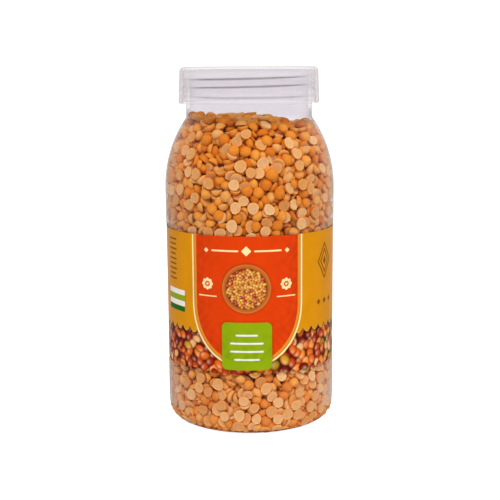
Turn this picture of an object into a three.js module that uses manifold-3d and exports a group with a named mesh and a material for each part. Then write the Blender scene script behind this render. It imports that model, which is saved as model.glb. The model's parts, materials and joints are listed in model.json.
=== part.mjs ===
// A clear plastic jar of split chickpeas, shut with a clear screw lid, with a printed label round it.
// Millimetres, +Z up. The origin is the middle of the base, and the label's front faces -Y.

import * as THREE from "three";
import { mergeVertices } from "three/addons/utils/BufferGeometryUtils.js";
import Module from "manifold-3d";

const wasm = await Module();
wasm.setup();

// The whole
const TOTAL_HEIGHT = 195;
const ROUND_SEGMENTS = 48;
const MERGE_DISTANCE = 1e-3;

// Jar
const BODY_RADIUS = 46.6;
const BODY_WALL = 0.8;
const HEEL_RADIUS = 7.4; // rounds the foot of the body into the base
const BASE_RING_WIDTH = 4;
const PUSH_UP = 5; // how far the base domes up inside its ring
const RECESS_FOOT = 32.2; // the body steps in for the label from here
const RECESS_TOP = 110; // to here
const RECESS_DEPTH = 0.6;
const RECESS_SLOPE = 0.8; // height of each step's slope
const SHOULDER_START = 130;
const SHOULDER_RADIUS = 65.6;
const NECK_RADIUS = 34.5;
const NECK_WALL = 2;
const BEAD_HEIGHT = 179.4; // the ring below the thread
const BEAD_REACH = 1;
const DOME_STEPS = 3;
const HEEL_STEPS = 4;
const SHOULDER_STEPS = 5;
const BEAD_STEPS = 3;

// Lid
const LID_THICKNESS = 1.3;
const LID_WALL = 1.1;
const LID_TOP_RADIUS = 37.8;
const LID_FOOT_RADIUS = 38.4;
const LID_HEIGHT = 19.3;
const LID_CORNER = 2.5;
const LID_CORNER_STEPS = 4;
const LIP_GAP = 0.3; // between the jar's lip and the lid's underside

// Screw thread: a ridge outside the neck, and one inside the lid half a turn's rise lower
const THREAD_PITCH = 4.2;
const THREAD_TURNS = 1.75;
const THREAD_LEAD_IN = 0.4; // turns of the ridge before it first passes the front
const THREAD_FRONT_HEIGHT = 185; // where the neck's ridge does so
const THREAD_RUN_IN = 0.12; // part of the ridge's length in which it rises out of its wall
const THREAD_STEPS_PER_TURN = 24;
const THREAD_ROOT_WIDTH = 2;
const THREAD_CREST_WIDTH = 0.8;
const NECK_RIDGE = 1.3;
const NECK_RIDGE_BURIED = 0.4; // depth of the ridge's root inside its wall
const LID_RIDGE = 1.1;
const LID_RIDGE_BURIED = 0.8;

// Label
const LABEL_GAP = 0.2;
const LABEL_THICKNESS = 0.25;
const LABEL_TOP = 108.7;
const LABEL_FOOT = 34.4;
const SCALLOPS = 48; // the foot follows the outlines of printed beans
const SCALLOP_STEPS = 3;
const SCALLOP_DEPTH = 1.6;
const SCALLOP_BAND = 1; // only edges this near the foot are scalloped

// Contents
const FILL_GAP = 0.3;
const FILL_HEIGHT = 166.2;
const FILL_TILT = 0.055; // the heap is higher on the -X side
const FILL_TOP_RADIUS = 32;
const FILL_SHOULDER_RADIUS = 37; // where the heap leaves the jar's shoulder
const FILL_SEGMENTS = 34;
const FILL_ROWS = 9;
const WALL_BUMP = 0.5;
const TOP_BUMP = 0.8;
const TOP_RINGS = 3;
const TOP_BAND = 0.01;
const RANDOM_SEED = 7;

// Points of a round stretch of a profile, about a centre, from one angle to another.
function arc(centreR, centreZ, radius, fromDegrees, toDegrees, steps) {
  return Array.from({ length: steps + 1 }, (_, i) => {
    const degrees = THREE.MathUtils.lerp(fromDegrees, toDegrees, i / steps);
    const angle = THREE.MathUtils.degToRad(degrees);
    return [centreR + radius * Math.cos(angle), centreZ + radius * Math.sin(angle)];
  });
}

// A profile of [radius, height] pairs turned about +Z.
function turned(profile, segments = ROUND_SEGMENTS) {
  const points = profile.map(([r, z]) => new THREE.Vector2(Math.max(r, 0), z));
  return welded(new THREE.LatheGeometry(points, segments).rotateX(Math.PI / 2));
}

// The geometry with its shared vertices merged, and without the faces that this closes up.
function welded(geometry) {
  geometry.deleteAttribute("normal");
  geometry.deleteAttribute("uv");
  const merged = mergeVertices(geometry, MERGE_DISTANCE);
  const index = merged.index.array;
  const kept = [];
  for (let i = 0; i < index.length; i += 3) {
    const [a, b, c] = index.slice(i, i + 3);
    if (a !== b && b !== c && c !== a) kept.push(a, b, c);
  }
  return merged.setIndex(kept);
}

function toSolid(geometry) {
  const vertProperties = new Float32Array(geometry.attributes.position.array);
  const triVerts = new Uint32Array(geometry.index.array);
  return new wasm.Manifold(new wasm.Mesh({ numProp: 3, vertProperties, triVerts }));
}

function toGeometry(solid) {
  const { vertProperties, triVerts } = solid.getMesh();
  return new THREE.BufferGeometry()
    .setAttribute("position", new THREE.BufferAttribute(vertProperties, 3))
    .setIndex(new THREE.BufferAttribute(triVerts, 1));
}

// A dome's profile from its crown on the axis out to its rim.
function domeProfile(rimRadius, rise, rimHeight, steps) {
  const radius = (rimRadius ** 2 + rise ** 2) / (2 * rise);
  const rimAngle = THREE.MathUtils.radToDeg(Math.acos(rimRadius / radius));
  return arc(0, rimHeight + rise - radius, radius, 90, rimAngle, steps);
}

// A right-handed ridge about +Z from a root radius to a crest radius. It narrows to a point inside
// its wall at both ends.
function threadRidge(rootRadius, crestRadius, frontHeight) {
  const section = [
    [rootRadius, -THREAD_ROOT_WIDTH / 2],
    [crestRadius, -THREAD_CREST_WIDTH / 2],
    [crestRadius, THREAD_CREST_WIDTH / 2],
    [rootRadius, THREAD_ROOT_WIDTH / 2],
    [rootRadius, -THREAD_ROOT_WIDTH / 2],
  ];
  if (crestRadius < rootRadius) section.reverse();
  const steps = Math.round(THREAD_TURNS * THREAD_STEPS_PER_TURN);
  const place = [];
  const index = [];
  const last = section.length - 1;
  for (let i = 0; i <= steps; i++) {
    const t = i / steps;
    const full = THREE.MathUtils.smoothstep(Math.min(t, 1 - t), 0, THREAD_RUN_IN);
    const turns = t * THREAD_TURNS - THREAD_LEAD_IN;
    const angle = 2 * Math.PI * turns - Math.PI / 2;
    for (const [r, z] of section) {
      const radius = THREE.MathUtils.lerp(rootRadius, r, full);
      const height = frontHeight + turns * THREAD_PITCH + z * full;
      place.push(radius * Math.cos(angle), radius * Math.sin(angle), height);
    }
    if (i === steps) break;
    for (let j = 0; j < last; j++) {
      const corner = i * section.length + j;
      const next = corner + section.length;
      index.push(corner, next, corner + 1, corner + 1, next, next + 1);
    }
  }
  const geometry = new THREE.BufferGeometry()
    .setAttribute("position", new THREE.Float32BufferAttribute(place, 3))
    .setIndex(index);
  return welded(geometry);
}

const lidUnderside = TOTAL_HEIGHT - LID_THICKNESS;
const lipHeight = lidUnderside - LIP_GAP;
const ringOuter = BODY_RADIUS - HEEL_RADIUS;
const ringInner = ringOuter - BASE_RING_WIDTH;
const shoulderCentre = BODY_RADIUS - SHOULDER_RADIUS;

// The angle at which an arc about the shoulder's centre reaches a radius from the jar's axis.
function shoulderAngle(arcRadius, reach) {
  return THREE.MathUtils.radToDeg(Math.acos((reach - shoulderCentre) / arcRadius));
}

// The jar's profile at a depth below its outer surface, from the base's middle to a reach from the
// axis on the shoulder. The points of its straight side are passed in.
function bodyProfile(depth, reach, side) {
  const shoulderRadius = SHOULDER_RADIUS - depth;
  const shoulderEnd = shoulderAngle(shoulderRadius, reach);
  return [
    ...domeProfile(ringInner, PUSH_UP, depth, DOME_STEPS),
    ...arc(ringOuter, HEEL_RADIUS, HEEL_RADIUS - depth, -90, 0, HEEL_STEPS),
    ...side,
    ...arc(shoulderCentre, SHOULDER_START, shoulderRadius, 0, shoulderEnd, SHOULDER_STEPS),
  ];
}

// The straight side of the body at a depth below its outer surface, with the recess for the label.
function recessedSide(depth) {
  const wall = BODY_RADIUS - depth;
  return [
    [wall, RECESS_FOOT],
    [wall - RECESS_DEPTH, RECESS_FOOT + RECESS_SLOPE],
    [wall - RECESS_DEPTH, RECESS_TOP - RECESS_SLOPE],
    [wall, RECESS_TOP],
  ];
}

function makeJar() {
  const outside = [
    ...bodyProfile(0, NECK_RADIUS, recessedSide(0)),
    ...arc(NECK_RADIUS, BEAD_HEIGHT, BEAD_REACH, -90, 90, BEAD_STEPS),
    [NECK_RADIUS, lipHeight],
  ];
  const mouth = NECK_RADIUS - NECK_WALL;
  const inside = bodyProfile(BODY_WALL, NECK_RADIUS - BODY_WALL, recessedSide(BODY_WALL));
  const neckFoot = inside.at(-1)[1] + NECK_WALL;
  inside.push([mouth, neckFoot], [mouth, lipHeight]);
  const body = toSolid(turned([...outside, ...inside.reverse()]));
  const root = NECK_RADIUS - NECK_RIDGE_BURIED;
  const ridge = threadRidge(root, NECK_RADIUS + NECK_RIDGE, THREAD_FRONT_HEIGHT);
  return toGeometry(body.add(toSolid(ridge)));
}

function makeLid() {
  const cornerHeight = TOTAL_HEIGHT - LID_CORNER;
  const foot = TOTAL_HEIGHT - LID_HEIGHT;
  const innerTop = LID_TOP_RADIUS - LID_WALL;
  const innerCorner = LID_CORNER - LID_WALL;
  const profile = [
    [0, lidUnderside],
    ...arc(
      innerTop - innerCorner,
      lidUnderside - innerCorner,
      innerCorner,
      90,
      0,
      LID_CORNER_STEPS / 2,
    ),
    [LID_FOOT_RADIUS - LID_WALL, foot],
    [LID_FOOT_RADIUS, foot],
    ...arc(LID_TOP_RADIUS - LID_CORNER, cornerHeight, LID_CORNER, 0, 90, LID_CORNER_STEPS),
    [0, TOTAL_HEIGHT],
  ];
  const cap = toSolid(turned(profile));
  const root = innerTop + LID_RIDGE_BURIED;
  const height = THREAD_FRONT_HEIGHT - THREAD_PITCH / 2;
  return toGeometry(cap.add(toSolid(threadRidge(root, innerTop - LID_RIDGE, height))));
}

// A band in the body's recess whose foot rises and falls in scallops.
function makeLabel() {
  const inner = BODY_RADIUS - RECESS_DEPTH + LABEL_GAP;
  const outer = inner + LABEL_THICKNESS;
  const profile = [
    [inner, LABEL_FOOT],
    [outer, LABEL_FOOT],
    [outer, LABEL_TOP],
    [inner, LABEL_TOP],
    [inner, LABEL_FOOT],
  ];
  const geometry = turned(profile, SCALLOPS * SCALLOP_STEPS);
  const place = geometry.attributes.position;
  for (let i = 0; i < place.count; i++) {
    if (place.getZ(i) > LABEL_FOOT + SCALLOP_BAND) continue;
    const angle = Math.atan2(place.getY(i), place.getX(i));
    const scallop = Math.abs(Math.sin((SCALLOPS * angle) / 2));
    place.setZ(i, LABEL_FOOT + SCALLOP_DEPTH * (0.5 - scallop));
  }
  return geometry;
}

// The heap out to the jar's wall, with an uneven surface of pea-sized bumps.
function makeContents() {
  const depth = BODY_WALL + FILL_GAP;
  const side = Array.from({ length: FILL_ROWS }, (_, i) => [
    BODY_RADIUS - RECESS_DEPTH - depth,
    THREE.MathUtils.lerp(HEEL_RADIUS, SHOULDER_START, (i + 1) / (FILL_ROWS + 1)),
  ]);
  const top = Array.from({ length: TOP_RINGS + 1 }, (_, i) => [
    FILL_TOP_RADIUS * (1 - i / TOP_RINGS),
    FILL_HEIGHT,
  ]);
  const profile = [...bodyProfile(depth, FILL_SHOULDER_RADIUS, side), ...top];
  const geometry = turned(profile, FILL_SEGMENTS);
  const place = geometry.attributes.position;
  const vertex = new THREE.Vector3();
  THREE.MathUtils.seededRandom(RANDOM_SEED);
  for (let i = 0; i < place.count; i++) {
    vertex.fromBufferAttribute(place, i);
    const bump = THREE.MathUtils.seededRandom();
    if (vertex.z > FILL_HEIGHT - TOP_BAND) {
      vertex.z += TOP_BUMP * (2 * bump - 1) - FILL_TILT * vertex.x;
    } else if (vertex.z > HEEL_RADIUS) {
      const radius = Math.hypot(vertex.x, vertex.y);
      const shrink = 1 - (WALL_BUMP * bump) / radius;
      vertex.x *= shrink;
      vertex.y *= shrink;
    }
    place.setXYZ(i, vertex.x, vertex.y, vertex.z);
  }
  return geometry;
}

const clearPlastic = new THREE.MeshStandardMaterial({
  color: 0xe9e6e8,
  roughness: 0.08,
  metalness: 0,
  transparent: true,
  opacity: 0.3,
});
const lidPlastic = new THREE.MeshStandardMaterial({
  color: 0xdcd6da,
  roughness: 0.25,
  metalness: 0,
  transparent: true,
  opacity: 0.55,
});
const printedFilm = new THREE.MeshStandardMaterial({
  color: 0xe8430a,
  roughness: 0.35,
  metalness: 0,
});
const splitPeas = new THREE.MeshStandardMaterial({
  color: 0xe0963c,
  roughness: 0.7,
  metalness: 0,
});

const pieces = [
  ["jar", makeJar(), clearPlastic],
  ["lid", makeLid(), lidPlastic],
  ["label", makeLabel(), printedFilm],
  ["split_chickpeas", makeContents(), splitPeas],
];

const jarOfSplitChickpeas = new THREE.Group();
for (const [name, geometry, material] of pieces) {
  geometry.computeVertexNormals();
  const mesh = new THREE.Mesh(geometry, material);
  mesh.name = name;
  jarOfSplitChickpeas.add(mesh);
}

export default jarOfSplitChickpeas;
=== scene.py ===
# A clear plastic jar of split chickpeas, with its clear screw lid and its printed wrap-round label.
import functools
import json
import math
import bpy
import numpy as np
from mathutils import Matrix, Vector

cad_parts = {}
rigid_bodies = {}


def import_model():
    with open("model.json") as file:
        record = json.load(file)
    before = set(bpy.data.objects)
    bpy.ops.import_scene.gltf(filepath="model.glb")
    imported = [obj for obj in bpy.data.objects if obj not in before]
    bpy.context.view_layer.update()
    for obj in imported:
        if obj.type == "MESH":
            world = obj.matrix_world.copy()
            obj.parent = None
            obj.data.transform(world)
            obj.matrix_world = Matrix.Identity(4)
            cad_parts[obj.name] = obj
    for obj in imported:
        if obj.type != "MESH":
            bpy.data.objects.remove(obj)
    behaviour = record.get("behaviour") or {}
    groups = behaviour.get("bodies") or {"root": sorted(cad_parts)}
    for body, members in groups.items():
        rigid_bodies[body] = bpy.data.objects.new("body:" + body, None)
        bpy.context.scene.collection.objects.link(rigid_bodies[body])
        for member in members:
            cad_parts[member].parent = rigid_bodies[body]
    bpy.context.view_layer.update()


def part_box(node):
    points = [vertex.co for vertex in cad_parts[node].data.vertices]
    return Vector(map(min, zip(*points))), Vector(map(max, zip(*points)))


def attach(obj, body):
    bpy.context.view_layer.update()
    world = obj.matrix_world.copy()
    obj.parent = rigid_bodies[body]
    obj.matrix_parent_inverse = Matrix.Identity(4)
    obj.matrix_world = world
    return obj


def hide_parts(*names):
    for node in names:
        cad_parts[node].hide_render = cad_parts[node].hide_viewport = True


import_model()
mm = 0.001
turn = 2 * math.pi


def linear(hexColour):
    parts = [int(hexColour[i:i + 2], 16) / 255 for i in (1, 3, 5)]
    return [c / 12.92 if c <= 0.04045 else ((c + 0.055) / 1.055) ** 2.4 for c in parts] + [1.0]


def boxMm(node):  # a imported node's lowest and highest corner in millimetres
    return [np.array(corner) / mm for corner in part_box(node)]


# Adds a node, a shader node unless kind gives its full name. inputs holds values, sockets to link, or
# nodes whose first output is linked, by name or number or in the sockets' order. settings holds the
# node's own options.
def addNode(tree, kind, inputs=(), **settings):
    node = tree.nodes.new(kind if "Node" in kind else "ShaderNode" + kind)
    for name, value in settings.items():
        setattr(node, name, value)
    for name, value in inputs.items() if isinstance(inputs, dict) else enumerate(inputs):
        if isinstance(value, bpy.types.Node):
            value = value.outputs[0]
        if isinstance(value, bpy.types.NodeSocket):
            tree.links.new(value, node.inputs[name])
        else:
            node.inputs[name].default_value = value
    return node


# empties the tree of a material or world, and gives the function that adds nodes to it
def startTree(owner):
    owner.use_nodes = True
    owner.node_tree.nodes.clear()
    return functools.partial(addNode, owner.node_tree)


def newMaterial(name):
    material = bpy.data.materials.new(name)
    return material, startTree(material)


def setRamp(ramp, stops):  # stops are (place, hex colour)
    while len(ramp.elements) < len(stops):
        ramp.elements.new(1.0)
    for element, (place, colour) in zip(ramp.elements, stops):
        element.position = place
        element.color = linear(colour)


def newMesh(name, points, faces):  # points are in millimetres
    mesh = bpy.data.meshes.new(name)
    mesh.from_pydata((points * mm).tolist(), [], faces)
    mesh.update()
    return mesh


# keeps a number, colour or turn for every point or corner of a mesh, for its material or its tree
def keepValues(mesh, name, values, kind="FLOAT", domain="POINT"):
    kept = mesh.attributes.new(name, kind, domain)
    field = "color" if kind == "FLOAT_COLOR" else "value"
    kept.data.foreach_set(field, np.ravel(values).astype(np.int32 if kind == "INT" else np.float32))


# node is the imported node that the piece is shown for; the halves bring their own shading and material
def addPiece(name, mesh, node, material=None):
    piece = bpy.data.objects.new(name, mesh)
    bpy.context.scene.collection.objects.link(piece)
    if material:
        mesh.shade_smooth()
        mesh.materials.append(material)
    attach(piece, "root")
    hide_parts(node)


# points of a round stretch of a profile, as rows of radius and height
def arc(centre, radius, fromDegrees, toDegrees, steps):
    angles = np.radians(np.linspace(fromDegrees, toDegrees, steps + 1))
    return np.stack([centre[0] + radius * np.cos(angles), centre[1] + radius * np.sin(angles)], 1)


# turns a profile about the jar's axis; it starts and ends on the axis. lift gives what is added to
# the radius, and the marks that the mesh keeps for its material.
def turned(name, profile, segments, lift=None):
    angles = np.arange(segments) * turn / segments
    rows = np.asarray(profile, float)
    radius = np.repeat(rows[1:-1, :1], segments, 1)
    height = np.repeat(rows[1:-1, 1:], segments, 1)
    marks = {}
    if lift:
        added, marks = lift(height, angles[None, :])
        radius = radius + added
    ring = np.stack([radius * np.cos(angles), radius * np.sin(angles), height], 2).reshape(-1, 3)
    points = np.concatenate([ring, [[0, 0, rows[0, 1]], [0, 0, rows[-1, 1]]]])
    first, last = len(ring), len(ring) + 1
    faces = []
    count = len(rows) - 2
    for j in range(segments):
        k = (j + 1) % segments
        faces.append((first, k, j))
        for i in range(count - 1):
            a, b = i * segments, (i + 1) * segments
            faces.append((a + j, a + k, b + k, b + j))
        faces.append((last, (count - 1) * segments + j, (count - 1) * segments + k))
    mesh = newMesh(name, points, faces)
    for mark, values in marks.items():
        keepValues(mesh, mark, np.append(np.broadcast_to(values, radius.shape), [0.0, 0.0]))
    return mesh


# camera, light and floor
studio = {
    "distance": 0.602,  # from the jar's axis
    "height": 0.1994,
    "pitch": 9.97,  # degrees down
    "roll": 0.387,  # degrees the picture leans to the left
    "lens": 78.4,  # mm on a 36 mm sensor
    "floorRadius": 6.0,
    "skyStrength": 0.5,
    "glossStrength": 0.15,  # what gloss mirrors is dimmer than what lights the jar
    "backdrop": 1.05,
    # each very soft sun: the way from the jar to it, its strength, and its spread in degrees
    "suns": {
        "key light": ((-0.04, -0.78, 0.98), 1.83, 30),
        "fill light": ((0.8, -0.5, 0.5), 0.5, 60),
    },
    "floorLift": (1.0, 0.3),  # brightens only the picture of the floor, near the jar and far off
    "floorNear": (0.15, 0.9),  # near and far, from the jar's axis
    "floorDrop": 0.2,  # mm under the jar
}


def makeCamera():
    data = bpy.data.cameras.new("camera")
    data.sensor_width = 36
    data.lens = studio["lens"]
    data.clip_end = 20
    camera = bpy.data.objects.new("camera", data)
    place = Matrix.Translation((0, -studio["distance"], studio["height"]))
    tilt = Matrix.Rotation(math.radians(90 - studio["pitch"]), 4, "X")
    camera.matrix_world = place @ tilt @ Matrix.Rotation(math.radians(-studio["roll"]), 4, "Z")
    bpy.context.scene.collection.objects.link(camera)
    bpy.context.scene.camera = camera


def makeStudio():
    s = studio
    scene = bpy.context.scene
    scene.view_settings.view_transform = "Standard"
    scene.cycles.transparent_max_bounces = 32
    world = bpy.data.worlds.new("white tent")
    add = startTree(world)
    ray = add("LightPath")  # the backdrop itself is plain white
    seen = add("Mix", {0: ray.outputs["Is Glossy Ray"], 2: s["skyStrength"], 3: s["glossStrength"]})
    strength = add("Mix", {0: ray.outputs["Is Camera Ray"], 2: seen, 3: s["backdrop"]})
    background = add("Background", {"Color": linear("#FFFFFF"), "Strength": strength})
    add("OutputWorld", {"Surface": background})
    scene.world = world
    for name, (toward, energy, spread) in s["suns"].items():
        data = bpy.data.lights.new(name, "SUN")
        data.energy = energy
        data.angle = math.radians(spread)
        lamp = bpy.data.objects.new(name, data)
        lamp.matrix_world = Vector(toward).to_track_quat("Z", "Y").to_matrix().to_4x4()
        lamp.visible_glossy = False
        scene.collection.objects.link(lamp)
    disc = arc((0, 0), s["floorRadius"] / mm, 0, 360, 96)[:-1]
    points = np.column_stack([disc, np.full(len(disc), -s["floorDrop"])])
    mesh = newMesh("floor", points, [list(range(len(disc)))])
    material, add = newMaterial("matt white sweep")
    ray = add("LightPath")
    # painted reflection: in gloss the floor shows dark grey, so that the jar mirrors it dimly
    paint = add("Mix", {0: ray.outputs["Is Glossy Ray"], 6: linear("#EEEEEE"), 7: linear("#707070")},
                data_type="RGBA")
    matt = add("BsdfDiffuse", {"Color": paint.outputs[2]})
    # painted light: the picture of the floor glows, most near the jar, where it pales the jar's contact
    # shadow
    where = add("TexCoord")
    away = add("VectorMath", [where.outputs["Object"]], operation="LENGTH")
    near, far = s["floorNear"]
    bright = add("MapRange", [away.outputs["Value"], near, far, s["floorLift"][0], s["floorLift"][1]])
    lift = add("Emission", {"Strength": bright})
    dark = add("Emission", {"Strength": 0.0})
    shown = add("MixShader", [ray.outputs["Is Camera Ray"], dark, lift])
    add("OutputMaterial", {"Surface": add("AddShader", [matt, shown])})
    mesh.materials.append(material)
    floor = bpy.data.objects.new("floor", mesh)
    scene.collection.objects.link(floor)


makeCamera()
makeStudio()
print("studio ready")


# Blow-moulded PET and moulded polypropylene, thin and polished: clear face on, with a grey veil
# towards the outline, where the wall is seen along its length. tint is what one surface lets through.
# "line" is painted shade: the screw thread's rounded ridge bends the light away and is painted darker,
# as are the jar's bead, its neck and the lid above the jar's lip. "skin" says how much of the veil a
# surface carries: all of it outside, and little inside.
def makeClearPlastic(name, finish):
    material, add = newMaterial(name)
    line = add("Attribute", attribute_name="line")
    side = add("NewGeometry")
    shown = add("MapRange", [side.outputs["Backfacing"], 0.0, 1.0, finish["line"], 0.0])
    edge = add("LayerWeight", {"Blend": 0.5})
    start, end, least = finish["lineFade"]
    fade = add("MapRange", [edge.outputs["Facing"], start, end, 1.0, least])
    faded = add("Math", [line.outputs["Fac"], fade], operation="MULTIPLY")
    near = add("Math", [faded, shown], operation="MULTIPLY")
    low = add("Math", [line.outputs["Fac"], finish["farLine"]], operation="MINIMUM")
    depth = add("Math", [near, low], operation="MAXIMUM", use_clamp=True)
    # what the surface lets through: its tint, darkened where the line mark paints shade
    tint = add("Mix", {0: depth, 6: linear(finish["tint"]), 7: linear(finish["lineShadeColour"])},
               data_type="RGBA")
    clear = add("BsdfTransparent", {"Color": tint.outputs[2]})
    veil = add("BsdfDiffuse", {"Color": linear(finish["veilColour"])})
    gloss = add("BsdfGlossy", {"Color": linear("#FFFFFF"), "Roughness": finish["roughness"]})
    steep = add("Math", [edge.outputs["Facing"], finish["veilPower"]], operation="POWER")
    skin = add("Attribute", attribute_name="skin")
    share = add("Math", [steep, skin.outputs["Fac"]], operation="MULTIPLY")
    amount = add("MapRange", [share, 0.0, 1.0, finish["haze"], finish["veil"]])
    body = add("MixShader", [amount, clear, veil])
    steeper = add("Math", [edge.outputs["Facing"], finish["mirrorPower"]], operation="POWER")
    glint = add("Math", [steeper, skin.outputs["Fac"]], operation="MULTIPLY")
    mirror = add("MapRange", [glint, 0.0, 1.0, finish["mirrorFaceOn"], finish["mirror"]])
    add("OutputMaterial", {"Surface": add("MixShader", [mirror, body, gloss])})
    return material


jarFinish = {
    "tint": "#FDFCFE",
    "line": 1.0,
    "farLine": 0.105,  # the most a line shows on the far side and at the outline
    "lineFade": (0.3, 0.65, 0.2),  # a line fades between these shares of side view, to this strength
    "lineShadeColour": "#928684",
    "haze": 0.0,  # veil seen face on
    "veil": 0.75,  # veil at the very outline
    "veilPower": 3.4,
    "veilColour": "#DCD2CA",
    "mirrorFaceOn": 0.01,
    "mirror": 0.25,  # at the very outline
    "mirrorPower": 5.0,
    "roughness": 0.03,
}
lidFinish = {  # where it differs from the jar's
    **jarFinish,
    "tint": "#FFFFFF",
    "line": 0.6,
    "farLine": 0.05,
    "lineShadeColour": "#A89CA0",
    "haze": 0.07,
    "veil": 0.9,
    "veilPower": 4.2,
    "veilColour": "#F0EAEE",
    "mirror": 0.2,
    "roughness": 0.08,
}

jarBox, lidBox = boxMm("jar"), boxMm("lid")
jarSizes = {
    "bodyRadius": jarBox[1][0],
    "lip": jarBox[1][2],
    "lipRound": 0.6,
    "wall": 0.45,
    "heel": 7.4,
    "ringWidth": 4.0,  # of the base's standing ring
    "pushUp": 5.0,  # rise of the base inside it
    "recessFoot": 32.2,
    "recessTop": 110.0,
    "recessDepth": 0.6,
    "recessSlope": 0.9,
    "shoulderStart": 130.0,
    "shoulderRadius": 65.6,
    "neckRadius": 34.5,
    "neckWall": 2.0,
    "finishFoot": 173.2,  # where the wall thickens
    "heelSkin": 0.12,  # shares of the veil: on the heel
    "lowSkin": 1.7,  # between the heel and the label
    "neckSkin": 0.33,  # on the neck below the lid
    "lidSkin": 0.1,  # on the neck under the lid
    "innerSkin": 0.15,  # inside
    "beadHeight": 179.4,
    "beadReach": 1.0,
    "beadShade": 0.6,
    "neckShade": 0.14,  # painted shade: the neck's thicker wall looks greyer and is painted so, marked like a faint thread line
    "shadeFoot": 166.2,
    "threadStart": 176.5,
    "segments": 144,
}
# circles of the jar's profile: the heel's and the shoulder's middles, and the round of the base
heelMiddle = jarSizes["bodyRadius"] - jarSizes["heel"]
shoulderMiddle = jarSizes["bodyRadius"] - jarSizes["shoulderRadius"]
ringInner = heelMiddle - jarSizes["ringWidth"]
domeRadius = (ringInner ** 2 + jarSizes["pushUp"] ** 2) / (2 * jarSizes["pushUp"])
threadSizes = {
    "pitch": 4.2,
    "turns": 1.75,
    "leadIn": 0.4,  # turns before the ridge first passes the front
    "frontHeight": 185.0,
    "runIn": 0.12,
    "halfWidth": 1.15,
    "neckRidge": 1.1,
    "lidRidge": 0.7,
    "rowStep": 0.3,
    "lineWidth": 0.55,
    "lidLine": 0.2,
}
lidSizes = {
    "top": lidBox[1][2],
    "foot": lidBox[0][2],
    "footRadius": lidBox[1][0],
    "topRadius": lidBox[1][0] - 0.6,
    "wall": 1.5,
    "thickness": 1.5,
    "corner": 2.5,
    "footRounds": (0.3, 0.4),  # inside and outside
    "topShade": 0.25,  # above the jar's lip the lid is a little greyer
    "segments": 144,
}


# height of a rounded screw ridge above its wall, and its mark
def ridgeLift(angle, height, frontHeight, reach):
    sizes = threadSizes
    front = ((angle + math.pi / 2) / turn + 0.5) % 1 - 0.5
    lift = np.zeros(np.broadcast(angle, height).shape)
    mark = lift
    for k in range(-1, 3):
        turns = front + k
        t = (turns + sizes["leadIn"]) / sizes["turns"]
        ends = np.clip(np.minimum(t, 1 - t) / sizes["runIn"], 0, 1)
        ends = ends * ends * (3 - 2 * ends)
        across = (height - frontHeight - sizes["pitch"] * turns) / sizes["halfWidth"]
        bump = np.cos(np.clip(across, -1, 1) * math.pi / 2) ** 1.4
        lift = np.maximum(lift, reach * ends * bump)
        mark = np.maximum(mark, ends * np.exp(-(across * sizes["halfWidth"] / sizes["lineWidth"]) ** 2))
    return lift, mark


# how far the body steps in for the label at a height
def recess(height):
    j = jarSizes
    foot, top, slope = j["recessFoot"], j["recessTop"], j["recessSlope"]
    return np.interp(height, [foot, foot + slope, top - slope, top], [0, 1, 1, 0]) * j["recessDepth"]


# the jar's profile at a depth below its outer surface, from the base's middle to the foot of the neck
def jarProfile(depth):
    j = jarSizes
    rim = math.degrees(math.acos(ringInner / domeRadius))
    shoulder = j["shoulderRadius"] - depth
    end = math.degrees(math.acos((j["neckRadius"] - depth - shoulderMiddle) / shoulder))
    ends = [np.linspace(at, at + way * j["recessSlope"], 4)
            for at, way in ((j["recessFoot"], 1), (j["recessTop"], -1))]
    heights = np.concatenate([[j["heel"] + 4], ends[0], ends[1][::-1]])
    side = np.stack([j["bodyRadius"] - depth - recess(heights), heights], 1)
    return np.concatenate([
        arc((0, depth + j["pushUp"] - domeRadius), domeRadius, 90, rim, 8),
        arc((heelMiddle, j["heel"]), j["heel"] - depth, -90, 0, 10),
        side,
        arc((shoulderMiddle, j["shoulderStart"]), shoulder, 0, end, 20),
    ])


def makeJar():
    j, t = jarSizes, threadSizes
    outside = jarProfile(0)
    outside[-1, 0] = j["neckRadius"]
    soft = j["lipRound"]
    neckRows = np.arange(j["threadStart"], j["lip"] - soft - 0.2, t["rowStep"])
    neck = np.stack([np.full(len(neckRows), j["neckRadius"]), neckRows], 1)
    bead = np.clip(1 - ((neckRows - j["beadHeight"]) / j["beadReach"]) ** 2, 0, 1) ** 0.5
    neck[:, 0] += bead * j["beadReach"]
    inner = j["neckRadius"] - j["neckWall"]
    outerLip = arc((j["neckRadius"] - soft, j["lip"] - soft), soft, 0, 90, 4)
    innerLip = arc((inner + soft, j["lip"] - soft), soft, 90, 180, 4)
    inside = jarProfile(j["wall"])
    neckInside = [[inner, j["threadStart"]], [inner, j["finishFoot"]],
                  [inside[-1, 0], j["finishFoot"] - 1.5]]
    profile = np.concatenate([outside, neck, outerLip, innerLip, neckInside, inside[::-1]])
    # which rows of the mesh are the neck's outer side; the profile's first point is left out of them
    neckStart, neckEnd = len(outside) - 1, len(outside) + len(neck) - 1
    onNeck = np.zeros((len(profile) - 2, 1))
    onNeck[neckStart:neckEnd] = 1
    skin = np.full(onNeck.shape, j["innerSkin"])
    height = outside[1:, 1:]
    skin[:neckStart] = np.select([height <= j["heel"], height <= j["recessFoot"]],
                                 [j["heelSkin"], j["lowSkin"]], 1)
    skin[neckStart:neckEnd, 0] = np.where(neckRows < lidBox[0][2], j["neckSkin"], j["lidSkin"])
    skin[neckEnd:neckEnd + len(outerLip) + len(innerLip) + len(neckInside)] = j["lidSkin"] / 2

    def lift(height, angle):
        ridge, mark = ridgeLift(angle, height, t["frontHeight"], t["neckRidge"])
        beadMark = j["beadShade"] * np.exp(-((height - j["beadHeight"]) / t["lineWidth"]) ** 2)
        bare = (height > j["shadeFoot"]) & (height < lidBox[0][2] + 1)
        line = np.maximum(onNeck * np.maximum(mark, beadMark), j["neckShade"] * bare)
        return onNeck * ridge, {"line": line, "skin": skin}

    mesh = turned("clear_jar", profile, j["segments"], lift)
    plastic = makeClearPlastic("blow-moulded clear PET", jarFinish)
    addPiece("clear_jar", mesh, "jar", plastic)


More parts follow.
